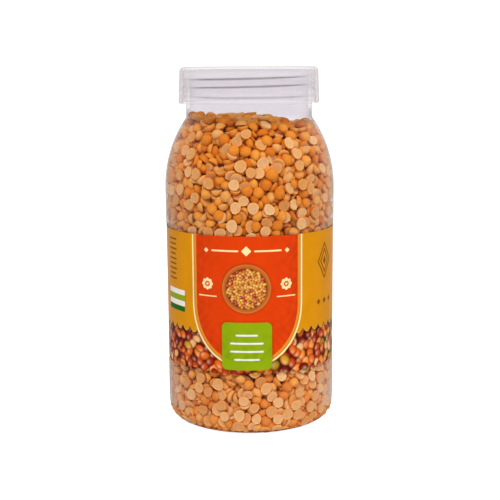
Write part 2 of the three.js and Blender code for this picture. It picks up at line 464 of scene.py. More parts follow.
def makeLid():
    s, t = lidSizes, threadSizes
    underside = s["top"] - s["thickness"]
    innerTop = s["topRadius"] - s["wall"]
    rows = np.arange(underside - 2.0, s["foot"] + 0.4, -t["rowStep"])
    flare = (s["footRadius"] - s["topRadius"]) * (s["top"] - rows) / (s["top"] - s["foot"])
    skirt = np.stack([innerTop + flare, rows], 1)
    corner = s["corner"] - s["wall"]
    start = [[0, underside], [innerTop * 0.5, underside]]
    innerCorner = arc((innerTop - corner, underside - corner), corner, 90, 0, 5)
    foot, small, large = s["footRadius"], *s["footRounds"]
    foot = [[foot - s["wall"], s["foot"] + small], [foot - s["wall"] + small, s["foot"]],
            [foot - large, s["foot"]], [foot, s["foot"] + large]]
    outerCorner = arc((s["topRadius"] - s["corner"], s["top"] - s["corner"]), s["corner"], 0, 90, 8)
    profile = np.concatenate([start, innerCorner, skirt, foot, outerCorner, [[0, s["top"]]]])
    before = len(start) + len(innerCorner)
    onSkirt = np.zeros((len(profile) - 2, 1))
    onSkirt[before - 1:before + len(skirt) - 1] = 1

    def lift(height, angle):
        front = t["frontHeight"] - t["pitch"] / 2
        ridge, mark = ridgeLift(angle, height, front, t["lidRidge"])
        line = np.maximum(onSkirt * mark * t["lidLine"], s["topShade"] * (height > jarBox[1][2] - 1))
        return -onSkirt * ridge, {"line": line, "skin": 1.0}

    mesh = turned("clear_lid", profile, s["segments"], lift)
    plastic = makeClearPlastic("moulded clear polypropylene", lidFinish)
    addPiece("clear_lid", mesh, "lid", plastic)


makeJar()
makeLid()
print("jar and lid made")


# The wrap-round label: one closed sheet of film whose print is worked out point by point from plain
# shapes and kept in the mesh as a colour. s runs round the jar from the front's middle, to the right.
labelBox = boxMm("label")
labelSizes = {
    "outer": labelBox[1][0],
    "thickness": 0.25,
    "top": labelBox[1][2],
    "foot": 34.4,
    "fineReach": 66.0,  # the front is painted in finer steps than the back
    "fineStep": 0.36,
    "coarseStep": 1.0,
    "rowStep": 0.42,
    "softness": 0.4,  # blur of a printed edge
    "bumpPitch": 6.1,  # the lower edge follows the printed beans
    "bumpDepth": 1.5,
    "scallopFoot": 58.4,
    "scallopPitch": 6.0,
    "scallopDepth": 3.2,
    "fieldMiddle": -2.0,
    "fieldHalf": 31.5,
    "fieldBend": 72.0,  # below this the field's sides curve in
    "fieldDrop": 34.0,
    "beanPitch": 5.1,
    "beanRows": 0.7,  # their rows' pitch as a share of it, and how far each strays
    "beanStray": 0.26,
    "beanLengths": (2.6, 3.5),  # from middle to edge
    "beanWidths": (2.0, 2.6),
    "beanTones": ((3.1, 1.7), (4.0, 2.2)),  # redder on the left, yellower on the right
    "seed": 5,
}
# middles are (s, height), and halves reach from the middle to the edge
motifSizes = {
    "stroke": 0.55,  # half the width of a drawn line
    "bars": (-52.0, 104.0),  # the top one, on the left, where small print would be
    "barPitch": 2.7,
    "barHalves": (4.6, 4.2, 4.8, 3.6),
    "stripes": (-48.6, 75.6),
    "stripeHalf": (8.8, 1.5),
    "diamond": (48.5, 92.0),
    "diamondHalves": ((6.5, 9.5), (4.0, 6.2)),
    "diamondCore": (1.8, 2.8),
    "spots": (42.5, 70.0),
    "spotPitch": 6,
    "spot": 1.9,
    "dish": 81.0,  # its middle's height
    "dishRadius": 13.2,
    "grooveRadius": 12.6,
    "fillRadius": 11.0,
    "grains": 150,
    "grainReach": 10.4,
    "grainHalf": (1.05, 0.75),
    "goldenAngle": 2.399963,  # spreads the grains evenly
    "rule": 101.0,
    "rosette": (21.5, 83.0),
    "petals": 8,
    "petalReach": 2.3,
    "petal": 1.05,
    "panel": 50.0,
    "panelHalf": (13.5, 13.0),
    "panelBars": (56.0, 4.4),  # height of the top one, and pitch
    "panelBarHalves": (6.0, 9.0, 9.0, 7.0),
}
printColours = {
    "gold": "#DA8E00",
    "goldRim": "#D9A030",
    "shadow": "#26060A",
    "orange": "#DE3E04",
    "cream": "#FFE4A6",
    "seam": "#A87820",
    "trim": "#E08A28",
    "green": "#8CA80A",
    "deepGreen": "#0F6A22",
    "white": "#F2F0EA",
    "wood": "#B9602A",
    "woodDark": "#7E3410",
    "brown": "#7A4408",
    "ground": "#561008",
}
# flat inks in the order they are laid: the distance they go by, how far inside that edge they start,
# how soft their own edge is, the ink (or none for the picture itself) and its strength
printLayers = [
    ("gold", 0.0, 0.2, "goldRim", 1.0),
    ("gold", 0.5, 0.3, "gold", 1.0),
    ("brown", 0.0, 0.2, "brown", 0.9),
    ("field", 0.0, 0.2, "cream", 1.0),
    ("field", 1.0, 0.2, "seam", 1.0),
    ("field", 1.4, 0.2, "trim", 1.0),
    ("field", 2.9, 0.2, "orange", 1.0),
    ("medallion", -1.2, 1.2, "woodDark", 0.4),
    ("medallion", 0.0, 0.2, None, 1.0),
    ("cream", 0.0, 0.2, "cream", 1.0),
    ("green", -1.2, 1.2, "woodDark", 0.4),
    ("green", 0.0, 0.2, "green", 1.0),
    ("deepGreen", 0.0, 0.2, "deepGreen", 1.0),
    ("white", 0.0, 0.2, "white", 0.95),
]
beanColours = [
    "#7A1608", "#A0240A", "#C4400E", "#E66414", "#F4882C", "#F2B070", "#D8941C", "#A8841A"]
grainColours = ["#E8A030", "#D98018", "#C8401A", "#F0B848", "#A82C10"]


def labelFoot(s):
    z = labelSizes
    wave = np.abs(np.sin(math.pi * s / z["bumpPitch"] + 0.7 * np.sin(s / 11)))
    return z["foot"] + z["bumpDepth"] * (1 - wave) + 0.4 * np.sin(s / 7.3)


# lays one colour over the print where mask is 1
def lay(ink, mask, hexColour):
    ink += mask[..., None] * (np.array(linear(hexColour)[:3]) - ink)


def softEdge(distance):  # 1 inside, 0 outside
    return np.clip(0.5 - distance / labelSizes["softness"], 0, 1)


def barDistance(s, z, middle, half, corner=0.0):
    ds = np.abs(s - middle[0]) - half[0] + corner
    dz = np.abs(z - middle[1]) - half[1] + corner
    outside = np.hypot(np.maximum(ds, 0), np.maximum(dz, 0))
    return outside + np.minimum(np.maximum(ds, dz), 0) - corner


def diamondDistance(s, z, middle, half):
    reach = np.abs(s - middle[0]) / half[0] + np.abs(z - middle[1]) / half[1] - 1
    return reach * min(half) * 0.8


# a shaded oval, such as a bean or a grain, with a dark rim and a soft highlight
def layOval(ink, s, z, middle, half, lean, hexColour, rim, shine):
    reach = max(half) + 1
    columns = np.abs(s[0] - middle[0]) < reach
    if not columns.any():
        return
    first, last = np.flatnonzero(columns)[[0, -1]]
    part = np.s_[:, first:last + 1]
    u, v = s[part] - middle[0], z[part] - middle[1]
    along = (u * math.cos(lean) + v * math.sin(lean)) / half[0]
    across = (v * math.cos(lean) - u * math.sin(lean)) / half[1]
    k = np.hypot(along, across)
    colour = np.array(linear(hexColour)[:3])
    edge = np.clip((1.0 - k) * 2.4, 0, 1)[..., None]
    glow = np.exp(-((along + 0.25) ** 2 + (across - 0.35) ** 2) * 7)[..., None]
    shaded = colour * (rim + (1 - rim) * edge)
    shaded = shaded + glow * shine * (np.array([1.0, 0.72, 0.45]) - shaded)
    mask = softEdge((k - 1) * min(half))[..., None]
    ink[part] += mask * (shaded - ink[part])


def fieldDistance(s, z):  # distance outside the big rounded field
    l = labelSizes
    u, v = s - l["fieldMiddle"], l["fieldBend"] - z
    side = np.abs(u) - l["fieldHalf"]
    k = np.hypot(u / l["fieldHalf"], v / l["fieldDrop"]) + 1e-6
    slope = np.hypot(u / l["fieldHalf"] ** 2, v / l["fieldDrop"] ** 2) / k + 1e-6
    return np.where(v < 0, side, (k - 1) / slope)


# Works out the print at every point: a picture of beans and grains as a colour, whose alpha shades the
# flat inks, and how far outside each flat ink's edge the point lies.
def paintPrint(s, z):
    l, c = labelSizes, printColours
    rng = np.random.default_rng(l["seed"])
    ink = np.zeros(s.shape + (3,))
    lay(ink, np.ones(s.shape), c["ground"])
    round_ = l["outer"] * math.pi
    # the band of beans, laid in a shuffled, uneven order over a loose grid
    across = np.arange(-round_, round_, l["beanPitch"])
    up = np.arange(l["foot"] - 1, l["scallopFoot"] + 2, l["beanRows"] * l["beanPitch"])
    grid = np.stack(np.meshgrid(across, up), 2)
    grid[1::2, :, 0] += l["beanPitch"] / 2
    stray = rng.uniform(-l["beanStray"], l["beanStray"], (grid[..., 0].size, 2))
    grid = grid.reshape(-1, 2) + stray * l["beanPitch"]
    for middle in rng.permutation(grid):
        half = (rng.uniform(*l["beanLengths"]), rng.uniform(*l["beanWidths"]))
        pick = rng.normal(*l["beanTones"][int(middle[0] >= 0)])
        colour = beanColours[int(np.clip(pick, 0, len(beanColours) - 1))]
        layOval(ink, s, z, middle, half, rng.uniform(0, math.pi), colour, 0.26, 0.36)
    far = {}
    across = s / l["scallopPitch"] * math.pi
    far["gold"] = l["scallopFoot"] - l["scallopDepth"] * np.abs(np.sin(across)) ** 0.8 - z
    lay(ink, 0.8 * np.clip(1 - far["gold"] / 3.0, 0, 1), c["shadow"])
    far["field"] = fieldDistance(s, z)
    stroke = np.sin(0.9 * s + 1.8 * np.sin(0.35 * z)) * np.sin(0.7 * z + 1.4 * np.sin(0.4 * s))
    inside = far["field"] + 2.9
    shade = 1 - 0.12 * (1 + stroke) * np.exp(inside / 9) * (inside < 0)
    paintSidePanels(far, s, z)
    paintField(ink, far, s, z, rng)
    return np.concatenate([ink, shade[..., None]], 2), far


def nearest(*distances):
    return np.minimum.reduce(distances)


def paintSidePanels(far, s, z):
    d, m = diamondDistance, motifSizes
    left, top = m["bars"]
    brown = [barDistance(s, z, (left, top - m["barPitch"] * i), (m["barHalves"][i % 4], m["stroke"]))
             for i in range(9)]
    brown += [np.abs(d(s, z, m["diamond"], half)) - m["stroke"] for half in m["diamondHalves"]]
    brown.append(d(s, z, m["diamond"], m["diamondCore"]))
    right, low = m["spots"]
    brown += [d(s, z, (right + m["spotPitch"] * i, low), (m["spot"], m["spot"])) for i in range(3)]
    far["brown"] = nearest(*brown)
    left, top = m["stripes"]
    stripes = [barDistance(s, z, (left, top - 2 * m["stripeHalf"][1] * i), m["stripeHalf"])
               for i in range(4)]
    far["white"] = nearest(stripes[0], stripes[2])
    far["green"], far["deepGreen"] = stripes[1], stripes[3]


def paintField(ink, far, s, z, rng):
    l, m, c = labelSizes, motifSizes, printColours
    centre, dish, rule = l["fieldMiddle"], m["dish"], m["rule"]
    # a wood-brown dish filled with grains
    away = np.hypot(s - centre, z - dish)
    lay(ink, away < m["dishRadius"] + 2.8, c["wood"])
    lay(ink, 0.6 * softEdge(np.abs(away - m["grooveRadius"]) - 0.25), c["trim"])
    lay(ink, softEdge(away - m["fillRadius"]), c["woodDark"])
    for i in range(m["grains"]):
        reach, way = m["grainReach"] * math.sqrt((i + 0.5) / m["grains"]), i * m["goldenAngle"]
        middle = (centre + reach * math.cos(way), dish + reach * math.sin(way))
        colour = grainColours[rng.integers(len(grainColours))]
        layOval(ink, s, z, middle, m["grainHalf"], rng.uniform(0, math.pi), colour, 0.5, 0.5)
    far["medallion"] = away - m["dishRadius"]
    # pale ornament: a broken rule under the top edge, and a rosette over a short rule beside the dish
    cream = [diamondDistance(s, z, (centre, rule), (2.8, 2.8))]
    for side in (-1, 1):
        cream.append(barDistance(s, z, (centre + side * 11.5, rule), (7.5, m["stroke"]), 0.5))
        cream.append(diamondDistance(s, z, (centre + side * 22.0, rule), (1.5, 1.5)))
        middle, height = centre + side * m["rosette"][0], m["rosette"][1]
        for k in range(m["petals"]):
            way = k * turn / m["petals"]
            u, v = m["petalReach"] * math.cos(way), m["petalReach"] * math.sin(way)
            cream.append(np.hypot(s - middle - u, z - height - v) - m["petal"])
        cream.append(np.hypot(s - middle, z - height) - 0.8)
        cream.append(barDistance(s, z, (middle, height - 6.5), (5.5, 0.42)))
    far["cream"] = nearest(*cream)
    # a plain green panel with pale bars
    panel = barDistance(s, z, (centre, m["panel"]), m["panelHalf"], 3.0)
    far["green"] = nearest(far["green"], panel)
    top, pitch = m["panelBars"]
    bars = [barDistance(s, z, (centre, top - pitch * i), (half, 0.6), 0.5)
            for i, half in enumerate(m["panelBarHalves"])]
    far["white"] = nearest(far["white"], *bars)


def makeLabel():
    l = labelSizes
    round_ = l["outer"] * math.pi
    fine = int(2 * l["fineReach"] / l["fineStep"])
    coarse = int(2 * (round_ - l["fineReach"]) / l["coarseStep"])
    columns = np.concatenate([
        np.linspace(-l["fineReach"], l["fineReach"], fine, endpoint=False),
        np.linspace(l["fineReach"], 2 * round_ - l["fineReach"], coarse, endpoint=False)])
    s = np.where(columns > round_, columns - 2 * round_, columns)
    # level rows, save for the lowest ones, which follow the wavy foot
    foot = labelFoot(s)
    level = l["foot"] + 2 * l["bumpDepth"]
    low = foot + (level - foot) * np.linspace(0, 1, 8, endpoint=False)[:, None]
    rows = np.linspace(level, l["top"], int((l["top"] - level) / l["rowStep"]) + 1)[:, None]
    z = np.concatenate([low, np.broadcast_to(rows, (len(rows), len(s)))])
    s = np.broadcast_to(s, z.shape)
    ink, far = paintPrint(s, z)
    # the sheet's inner side has only two rows
    allHeights = np.concatenate([z[:1], z, z[-1:]])
    allRadii = np.full(allHeights.shape, l["outer"])
    allRadii[[0, -1]] -= l["thickness"]
    angle = columns / l["outer"]
    points = np.stack([allRadii * np.sin(angle), -allRadii * np.cos(angle), allHeights], 2)
    count, around = allHeights.shape
    index = np.arange(count * around).reshape(count, around)
    right = np.roll(index, -1, 1)
    above, aboveRight = np.roll(index, -1, 0), np.roll(right, -1, 0)
    faces = np.stack([index, right, aboveRight, above], 2).reshape(-1, 4)
    mesh = newMesh("label", points.reshape(-1, 3), faces.tolist())
    far["print"] = ink
    for name, values in far.items():
        values = np.concatenate([values[:1], values, values[-1:]])
        keepValues(mesh, name, values, "FLOAT_COLOR" if name == "print" else "FLOAT")
    addPiece("printed_label", mesh, "label", makeLabelFilm())
    mesh.set_sharp_from_angle(angle=math.radians(50))


# a soft noise of blots so many millimetres wide
def cloudy(add, width, detail):
    where = add("TexCoord")
    return add("TexNoise", {
        "Vector": where.outputs["Object"], "Scale": 1 / (width * mm), "Detail": detail})


# a colour whose brightness wanders between low and high
def mottled(add, colour, width, low, high):
    shade = add("MapRange", [cloudy(add, width, 3.0), 0.3, 0.7, low, high])
    return add("VectorMath", {0: colour, 3: shade}, operation="SCALE")


# a bump of soft waves; depth is in millimetres
def uneven(add, width, detail, strength, depth):
    return add("Bump", {
        "Height": cloudy(add, width, detail), "Strength": strength, "Distance": depth * mm})


# Polypropylene film, gravure printed and wrapped tight: flat inks under a satin gloss, very slightly
# uneven where the film lies on the jar.
def makeLabelFilm():
    material, add = newMaterial("printed polypropylene film")
    picture = add("Attribute", attribute_name="print")
    ink = picture.outputs["Color"]
    for name, depth, soft, colour, strength in printLayers:
        edge = add("Attribute", attribute_name=name)
        cover = add("MapRange", [edge.outputs["Fac"], -depth - soft, -depth, strength, 0.0])
        laid = linear(printColours[colour]) if colour else picture.outputs["Color"]
        ink = add("Mix", {0: cover, 6: ink, 7: laid}, data_type="RGBA").outputs[2]
    shaded = add("VectorMath", {0: ink, 3: picture.outputs["Alpha"]}, operation="SCALE")
    shader = add("BsdfPrincipled", {
        "Base Color": mottled(add, shaded, 9, 0.95, 1.04), "Roughness": 0.4,
        "Normal": uneven(add, 14, 1.0, 0.3, 0.3),
        "Specular IOR Level": 0.05, "Sheen Weight": 0.4, "Sheen Roughness": 0.24})
    add("OutputMaterial", {"Surface": shader})
    return material


makeLabel()
print("label made")


# Dry split chickpeas, hulled and parted: a satin golden dome and a paler, duller cut face.
peaSizes = {
    "length": 7.0,
    "width": 6.5,
    "thickness": 3.1,
    "waist": 1.3,  # from the flat face to the point it turns about
    "outline": 10,  # points round it
    "rings": ((0.92, 0.0), (1.0, 0.14), (0.87, 0.58), (0.5, 0.9)),  # reach and rise, from the cut face up
    "dish": 0.6,  # reach of the cut face's shallow middle
    "smallest": (0.86, 0.88),
    "lobes": (0.03, 0.035, 0.045),  # the outline's one, two and three soft corners
    "rough": 0.02,
    "slant": 0.06,
    "shapes": 14,
    "count": 4600,
    "spread": 0.08,
    "coreRadius": 36.0,
    "coreBend": 138.0,  # above this the core narrows with the jar's shoulder
    "coreTop": 160.0,
    "coreTopRadius": 28.0,
    "coreFoot": 9.0,
    # its flange lies along the foot's inside, and shows under the lowest halves as painted brown shade,
    # standing for the halves that the thick heel bends into view
    "coreFlange": ((31, 6.0), (36, 0.7), (39.2, 0.5), (40.8, 0.69), (42, 1.1), (43.2, 1.8), (40, 7.0)),
    # the heap's height from left to right
    "surface": ((-35, 171.0), (-30, 169.2), (-20, 167.7), (10, 167.2), (27, 164.4), (35, 168.0)),
    "crest": 0.1,  # the most a half's middle stands above it
    "neckStart": 167.0,
    "rimHalves": (152, 162, 172, 182, 192, 202, 212, -28, -18, -8, 2, 12, 22),  # degrees
    "rimReach": 31.2,
    "footHalves": 36,  # laid in a ring on the foot before the rest
    "footReach": 38.6,
    "cutOut": (0.56, 0.42, 0.42, 0.15),  # share that shows the cut face at the wall, from low to high
    "cutHeights": (40, 110, 150, 160),
    "domeOut": 0.2,
    "nearWall": 4.4,
    "flatLayer": 4.0,
    "topLean": 0.16,
    "lean": 0.12,
    "rimBall": 0.36,  # radius of a cluster's outer balls, as a share of the thickness
    "rounds": 170,
    "startSize": 0.62,  # the halves grow from this share of their size
    "growing": 0.55,  # for this share of the rounds
    "searchEvery": 8,  # rounds between searches for neighbours
    "shove": 2.1,  # share of the mean overlap that a half moves by
    "twist": 1.3,
    "mostTwist": 0.35,  # radians in a round
    "sink": 0.02,  # mm in a round
    "margin": 0.05,  # kept between the clusters and the jar's inside
    "pieces": ("split_peas_a", "split_peas_b", "split_peas_c"),
    "seed": 3,
    "toneSeed": 11,
}


# one half: a dome over a flat cut face with a narrow round between them
def makePeaShape(index, rng):
    p = peaSizes
    n = p["outline"]
    angles = np.arange(n) * turn / n
    wobble = 1 + rng.uniform(-p["rough"], p["rough"], n)
    for lobes, depth in enumerate(p["lobes"], 1):
        wobble += depth * np.cos(lobes * angles + rng.uniform(0, turn))
    outline = np.stack([np.cos(angles) * p["length"] / 2, np.sin(angles) * p["width"] / 2], 1)
    outline *= wobble[:, None] * rng.uniform(p["smallest"], (1.0, 1.0))
    slant = rng.uniform(-p["slant"], p["slant"], 2)
    rings, points = p["rings"], []
    for reach, rise in rings:
        place = outline * (reach * (1 + rng.uniform(-p["rough"], p["rough"], n)))[:, None]
        height = p["thickness"] * rise + (place @ slant) * (rise > 0.2)
        points.append(np.column_stack([place, height]))
    points.append(np.column_stack([outline * p["dish"], np.full(n, 0.1)]))
    points = np.concatenate(points + [[[0, 0, p["thickness"]]], [[0, 0, 0.2]]])
    points[:, 2] -= p["waist"]
    apex, middle, dish = len(points) - 2, len(points) - 1, len(rings) * n
    faces, cut = [], []
    for j in range(n):
        k = (j + 1) % n
        faces += [(middle, dish + k, dish + j), (dish + j, dish + k, k, j)]
        faces += [(low + j, low + k, low + n + k, low + n + j) for low in range(0, dish - n, n)]
        faces.append((dish - n + j, dish - n + k, apex))
        cut += [True, True] + [False] * len(rings)
    mesh = newMesh(f"half_{index}", points, faces)
    mesh.polygons.foreach_set("use_smooth", [not c for c in cut])
    # 0 on the dome, 0.5 at the cut face's rim, rising to 1 in its shallow dish
    paint = [(1.0 if v >= dish else 0.5) * flat for face, flat in zip(faces, cut) for v in face]
    keepValues(mesh, "paint", paint, domain="CORNER")
    mesh.update()
    return bpy.data.objects.new(f"half_{index}", mesh)


# the turn b followed by the turn a, as quaternions
def turnBy(a, b):
    aw, ax, ay, az = a
    w, x, y, z = b
    return np.stack([aw * w - ax * x - ay * y - az * z, aw * x + ax * w + ay * z - az * y,
                     aw * y + ay * w + az * x - ax * z, aw * z + az * w + ax * y - ay * x], 1)


def turnMatrices(q):
    w, x, y, z = q.T
    rows = [1 - 2 * (y * y + z * z), 2 * (x * y - z * w), 2 * (x * z + y * w),
            2 * (x * y + z * w), 1 - 2 * (x * x + z * z), 2 * (y * z - x * w),
            2 * (x * z - y * w), 2 * (y * z + x * w), 1 - 2 * (x * x + y * y)]
    return np.stack(rows, 1).reshape(-1, 3, 3)


# every pair of balls nearer than reach that belong to two different halves
def closePairs(points, owner, reach):
    cell = np.floor(points / reach).astype(np.int64)
    cell -= cell.min(0) - 1
    size = cell.max(0) + 2
    key = (cell[:, 0] * size[1] + cell[:, 1]) * size[2] + cell[:, 2]
    order = np.argsort(key, kind="stable")
    sortedKey = key[order]
    steps = [(x, y, z) for x in (0, 1) for y in (-1, 0, 1) for z in (-1, 0, 1)]
    found = []
    for step in [s for s in steps if s >= (0, 0, 0)]:
        shift = (step[0] * size[1] + step[1]) * size[2] + step[2]
        low = np.searchsorted(sortedKey, key + shift, "left")
        count = np.searchsorted(sortedKey, key + shift, "right") - low
        first = np.repeat(np.arange(len(points)), count)
        base = np.repeat(low - (np.cumsum(count) - count), count)
        second = order[base + np.arange(count.sum())]
        keep = owner[first] != owner[second]
        if step == (0, 0, 0):
            keep &= first < second
        first, second = first[keep], second[keep]
        gap = points[first] - points[second]
        near = (gap * gap).sum(1) < reach * reach
        found.append(np.stack([first[near], second[near]]))
    return np.concatenate(found, 1)


def heapTop(x):
    return np.interp(x, *np.transpose(peaSizes["surface"]))


# Any way round inside the heap, but many of those next to the wall lie flat against it, cut face or
# dome outwards, as they do when a jar is filled and shaken.
def startingTurns(places, rng):
    j, p = jarSizes, peaSizes
    count = len(places)
    x, y, z = places.T
    r = np.hypot(x, y) + 1e-9
    inShoulder, above = z > j["shoulderStart"], z - j["shoulderStart"]
    rise = np.where(inShoulder, np.arctan2(above, r - shoulderMiddle), 0)
    rise = np.where(z < j["heel"], np.arctan2(z - j["heel"], np.maximum(r - heelMiddle, 0.5)), rise)
    outward = np.stack([x / r * np.cos(rise), y / r * np.cos(rise), np.sin(rise)], 1)
    depth = np.where(inShoulder, j["shoulderRadius"] - np.hypot(r - shoulderMiddle, above),
                     j["bodyRadius"] - r)
    heelDepth = j["heel"] - np.hypot(np.maximum(r - heelMiddle, 0), j["heel"] - z)
    depth = np.where(z < j["heel"], heelDepth, depth)
    draw = rng.random(count)
    share = np.interp(z, p["cutHeights"], p["cutOut"])
    cutOut = draw < share
    domeOut = (draw >= share) & (draw < share + p["domeOut"])
    near = depth < p["nearWall"]
    up = rng.normal(size=(count, 3))
    lean = rng.normal(size=(count, 3)) * p["lean"]
    up = np.where((near & cutOut)[:, None], -outward + lean, up)
    up = np.where((near & domeOut)[:, None], outward + lean, up)
    flat = z > heapTop(x) - p["flatLayer"]  # on top they lie flat, either way up
    side = np.where(draw < 0.5, -1.0, 1.0)[:, None]
    up = np.where(flat[:, None], side * np.array([0, 0, 1.0]) + 2.5 * lean, up)
    return turnTo(up, rng)


# the turns that take a half's own z axis to each way up, after a free turn about it
def turnTo(up, rng):
    count = len(up)
    up = up / np.linalg.norm(up, axis=1)[:, None]
    half = np.stack([1 + up[:, 2], -up[:, 1], up[:, 0], np.zeros(count)], 1)
    half[:, 0] += 1e-6
    half /= np.linalg.norm(half, axis=1)[:, None]
    spin = rng.uniform(0, math.pi, count)
    return turnBy(half.T, (np.cos(spin), 0, 0, np.sin(spin)))


# Settles the halves against the jar's wall. Each is a rigid cluster of balls that grows to its full
# size while overlaps push the clusters apart and turn them.
def settleHalves():
    j, p = jarSizes, peaSizes
    rng = np.random.default_rng(p["seed"])
    count = p["count"]
    depth = j["wall"] + p["margin"]
    wall, heel, shoulder = j["bodyRadius"] - depth, j["heel"] - depth, j["shoulderRadius"] - depth
    # a half's balls: one in its middle and six round its rim
    around = np.arange(6) * turn / 6
    ballRadius, rimRadius = p["thickness"] / 2, p["thickness"] * p["rimBall"]
    rim = np.stack([(p["length"] / 2 - rimRadius) * np.cos(around),
                    (p["width"] / 2 - rimRadius) * np.sin(around),
                    np.full(len(around), rimRadius)], 1)
    balls = np.concatenate([[[0, 0, ballRadius]], rim])
    balls[:, 2] -= p["waist"]
    radii = np.array([ballRadius] + [rimRadius] * len(around))
    each = len(radii)

    def floorHeight(r):
        r = np.minimum(r, ringInner)
        return np.sqrt(domeRadius ** 2 - r ** 2) - domeRadius + j["pushUp"] + depth

    def coreReach(z):
        return np.interp(z, [p["coreBend"], p["coreTop"]], [p["coreRadius"], p["coreTopRadius"]])

    # how far each ball has to move to be clear of the side, shoulder, heel, floor and core
    def wallPush(points, ball):
        x, y, z = points.T
        r = np.hypot(x, y) + 1e-9
        outward, upward = np.zeros(len(r)), np.zeros(len(r))
        deep = np.maximum(r + ball - wall + recess(z), 0)
        outward -= deep * (z <= j["shoulderStart"]) * (z >= j["heel"])
        inNeck = z > p["neckStart"]
        outward -= np.maximum(r + ball - j["neckRadius"] + depth, 0) * inNeck
        rounds = [
            (shoulderMiddle, j["shoulderStart"], shoulder, (z > j["shoulderStart"]) & ~inNeck),
            (heelMiddle, j["heel"], heel, (z < j["heel"]) & (r > heelMiddle)),
        ]
        for centre, level, radius, where in rounds:
            across, above = r - centre, z - level
            span = np.hypot(across, above) + 1e-9
            deep = np.maximum(span + ball - radius, 0) * where
            outward -= deep * across / span
            upward -= deep * above / span
        upward += np.maximum(floorHeight(r) + ball - z, 0) * (r <= heelMiddle)
        side = coreReach(z) - (r - ball)
        down = p["coreTop"] - z + ball
        inCore = (side > 0) & (down > 0) & (z > p["coreFoot"] - 1)
        outward += side * (inCore & (side < down))
        upward += down * (inCore & (side >= down))
        return np.stack([outward * x / r, outward * y / r, upward], 1)

    # places spread evenly through the layer between core and wall
    places = np.zeros((0, 3))
    while len(places) < count:
        x = rng.uniform(-wall, wall, (20000, 3))
        x[:, 2] = rng.uniform(2, heapTop(0) + 3, len(x))
        r = np.hypot(x[:, 0], x[:, 1])
        fits = (r < wall - 1.5) & (x[:, 2] < heapTop(x[:, 0]))
        fits &= x[:, 2] > floorHeight(r) + 1.5
        rise = np.maximum(x[:, 2] - j["shoulderStart"], 0)
        fits &= np.hypot(r - shoulderMiddle, rise) < shoulder - 1.5
        drop = np.maximum(j["heel"] - x[:, 2], 0)
        fits &= np.hypot(np.maximum(r - heelMiddle, 0), drop) < heel - 1
        fits &= (r > coreReach(x[:, 2]) + 1) | (x[:, 2] > p["coreTop"] + 1) | (x[:, 2] < p["coreFoot"])
        places = np.concatenate([places, x[fits]])
    places = places[:count]
    # a few that lie against the neck at either side, where the heap's outline ends
    for k, degrees in enumerate(p["rimHalves"]):
        way = math.radians(degrees)
        x = p["rimReach"] * math.cos(way)
        places[k] = x, p["rimReach"] * math.sin(way), heapTop(x) - 1
    # and a ring of them on the foot, so that it shows no gap below them
    first, last = len(p["rimHalves"]), len(p["rimHalves"]) + p["footHalves"]
    way = np.arange(p["footHalves"]) * turn / p["footHalves"]
    places[first:last] = np.stack([
        p["footReach"] * np.cos(way), p["footReach"] * np.sin(way), np.full(len(way), depth + 1.6)], 1)
    size = rng.uniform(1 - p["spread"], 1 + p["spread"], count)
    q = startingTurns(places, rng)
    owner = np.repeat(np.arange(count), each)
    fullRadii = (radii[None] * size[:, None]).ravel()
    for step in range(p["rounds"]):
        grown = p["startSize"] + (1 - p["startSize"]) * min(1, step / (p["rounds"] * p["growing"]))
        arms = np.einsum("nij,kj->nki", turnMatrices(q), balls) * (size * grown)[:, None, None]
        points = (places[:, None] + arms).reshape(-1, 3)
        ball = fullRadii * grown
        if step % p["searchEvery"] == 0:
            first, second = closePairs(points, owner, 2 * fullRadii.max() + 0.5)
        gap = points[first] - points[second]
        apart = np.sqrt((gap * gap).sum(1)) + 1e-9
        overlap = ball[first] + ball[second] - apart
        hit = overlap > 0
        a, b = first[hit], second[hit]
        push = gap[hit] * (0.5 * overlap[hit] / apart[hit])[:, None]
        total = len(points)
        moved = np.stack([np.bincount(a, push[:, k], total) - np.bincount(b, push[:, k], total)
                          for k in range(3)], 1)
        touches = np.bincount(a, minlength=total) + np.bincount(b, minlength=total)
        walls = wallPush(points, ball)
        moved += walls
        touches += (walls != 0).any(1)
        moved = moved.reshape(count, each, 3)
        hits = np.maximum(touches.reshape(count, each).sum(1), 1)
        places = places + p["shove"] * moved.sum(1) / hits[:, None]
        places[:, 2] -= p["sink"] * (1 if step < p["rounds"] * 0.9 else 0.3)
        spin = p["twist"] * np.cross(arms, moved).sum(1) / (arms ** 2).sum((1, 2))[:, None]
        speed = np.linalg.norm(spin, axis=1)[:, None]
        spin *= np.minimum(speed, p["mostTwist"]) / np.maximum(speed, 1e-9)
        q = turnBy((1, *(0.5 * spin.T)), q.T)
        q /= np.linalg.norm(q, axis=1)[:, None]

    # what came to rest on top is laid flat
    top = places[:, 2] > heapTop(places[:, 0]) - p["flatLayer"] / 2
    flat = np.where(rng.random(count) < 0.5, 1.0, -1.0)[:, None] * np.array([0, 0, 1.0])
    q = np.where(top[:, None], turnTo(flat + rng.normal(size=(count, 3)) * p["topLean"], rng), q)
    places[:, 2] = np.minimum(places[:, 2], heapTop(places[:, 0]) + p["crest"])
    # at the end every half is moved clear of the walls by its deepest ball
    arms = np.einsum("nij,kj->nki", turnMatrices(q), balls) * size[:, None, None]
    for step in range(6):
        walls = wallPush((places[:, None] + arms).reshape(-1, 3), fullRadii).reshape(count, each, 3)
        deepest = (walls ** 2).sum(2).argmax(1)
        places = places + walls[np.arange(count), deepest]
    return places, q, size


